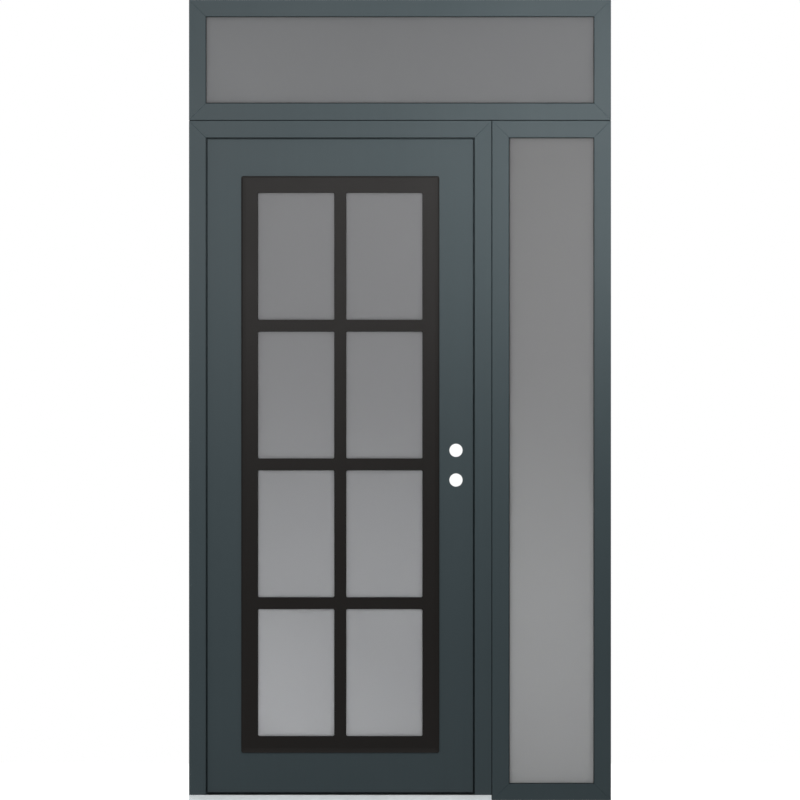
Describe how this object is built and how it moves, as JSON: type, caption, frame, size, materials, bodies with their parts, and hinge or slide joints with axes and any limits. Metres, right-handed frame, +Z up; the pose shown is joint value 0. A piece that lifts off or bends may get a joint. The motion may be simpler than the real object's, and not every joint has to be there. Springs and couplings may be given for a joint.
{
  "type": "frosted glass entrance door set",
  "caption": "Entrance door set: an inward opening leaf with frosted panes behind a black barred frame, a fixed side light and a fixed transom light.",
  "frame": {"origin": "on the underside of the threshold, in the middle of the set's width and of the frame's depth", "axes": "+Z up, -Y outwards (the side the picture shows), +Y into the room, +X to the right as seen from outside"},
  "size_m": [1.307, 0.104, 2.48],
  "materials": {
    "frame_coat": "satin powder coat, anthracite blue grey",
    "leaf_coat": "satin powder coat, anthracite blue grey",
    "black_coat": "satin black",
    "frosted_glass": "grey frosted",
    "clear_glass": "clear",
    "spacer_metal": "mill finish with fine perforations",
    "seal_rubber": "matt black",
    "sill_metal": "satin anodised",
    "break_plastic": "glass filled, matt",
    "hinge_coat": "satin powder coat, anthracite blue grey",
    "pin_steel": "brushed"
  },
  "bodies": {
    "frame": {"threshold": "sill_metal", "threshold_end_blocks": "break_plastic", "hinge_jamb": "frame_coat", "lock_jamb": "frame_coat", "door_head": "frame_coat", "door_seal": "seal_rubber", "joint_strips": "seal_rubber", "thermal_breaks": "break_plastic", "hinge_pins": "pin_steel", "side_light_left_stile": "frame_coat", "side_light_top_rail": "frame_coat", "side_light_right_stile": "frame_coat", "side_light_bottom_rail": "frame_coat", "side_light_outer_glass": "frosted_glass", "side_light_inner_glass": "clear_glass", "side_light_spacer": "spacer_metal", "side_light_gaskets": "seal_rubber", "side_light_beads": "frame_coat", "transom_left_stile": "frame_coat", "transom_top_rail": "frame_coat", "transom_right_stile": "frame_coat", "transom_bottom_rail": "frame_coat", "transom_outer_glass": "frosted_glass", "transom_inner_glass": "clear_glass", "transom_spacer": "spacer_metal", "transom_gaskets": "seal_rubber", "transom_beads": "frame_coat", "bottom_hinge_jamb_half": "hinge_coat", "middle_hinge_jamb_half": "hinge_coat", "top_hinge_jamb_half": "hinge_coat"},
    "door_leaf": {"leaf_hinge_stile": "leaf_coat", "leaf_lock_stile": "leaf_coat", "leaf_top_rail": "leaf_coat", "leaf_bottom_rail": "leaf_coat", "leaf_outer_skin": "leaf_coat", "leaf_inner_skin": "leaf_coat", "outer_lite_frame": "black_coat", "inner_lite_frame": "black_coat", "leaf_outer_glass": "frosted_glass", "leaf_inner_glass": "clear_glass", "leaf_spacer": "spacer_metal", "bottom_hinge_leaf_half": "hinge_coat", "middle_hinge_leaf_half": "hinge_coat", "top_hinge_leaf_half": "hinge_coat"}
  },
  "joints": [
    {"name": "door_swing", "type": "hinge", "parent": "frame", "child": "door_leaf", "pos_m": [-0.6185, 0.0525, 1.038], "axis": [0, 0, 1], "range_deg": [0, 100]}
  ]
}
